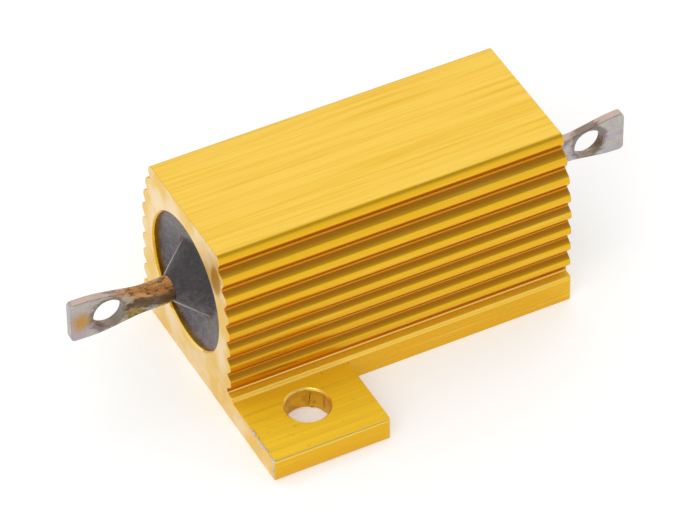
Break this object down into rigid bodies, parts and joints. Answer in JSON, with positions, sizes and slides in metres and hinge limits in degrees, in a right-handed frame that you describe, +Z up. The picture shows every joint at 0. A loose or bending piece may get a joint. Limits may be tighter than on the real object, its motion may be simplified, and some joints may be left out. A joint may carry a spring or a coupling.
{
  "type": "aluminium housed power resistor",
  "caption": "Wirewound resistor moulded into a finned gold-anodised aluminium housing, with screw tabs on one diagonal and a pierced solder lug at each end.",
  "frame": {"origin": "middle of the base, midway between the two sawn ends and between the two milled sides, on the mounting plane", "axes": "+X across the housing towards the front tab, +Y along the bore from the front terminal to the rear one, +Z up from the base to the flat top"},
  "size_m": [0.028, 0.0451, 0.0147],
  "materials": {
    "anodised_housing": "gold anodised extrusion, fine lines along its length, sawn ends",
    "moulding": "dark grey heat resistant moulding, smooth ring and rough boss",
    "ceramic": "fired steatite, unglazed",
    "resistance_wire": "drawn resistance alloy",
    "cap_steel": "pressed plated steel",
    "tinned_terminal": "tinned and flattened, heat stained towards the body"
  },
  "bodies": {
    "root": {"housing": "anodised_housing", "moulding": "moulding", "ceramic_core": "ceramic", "resistance_winding": "resistance_wire", "front_cap": "cap_steel", "rear_cap": "cap_steel", "front_terminal": "tinned_terminal", "rear_terminal": "tinned_terminal"}
  },
  "joints": []
}
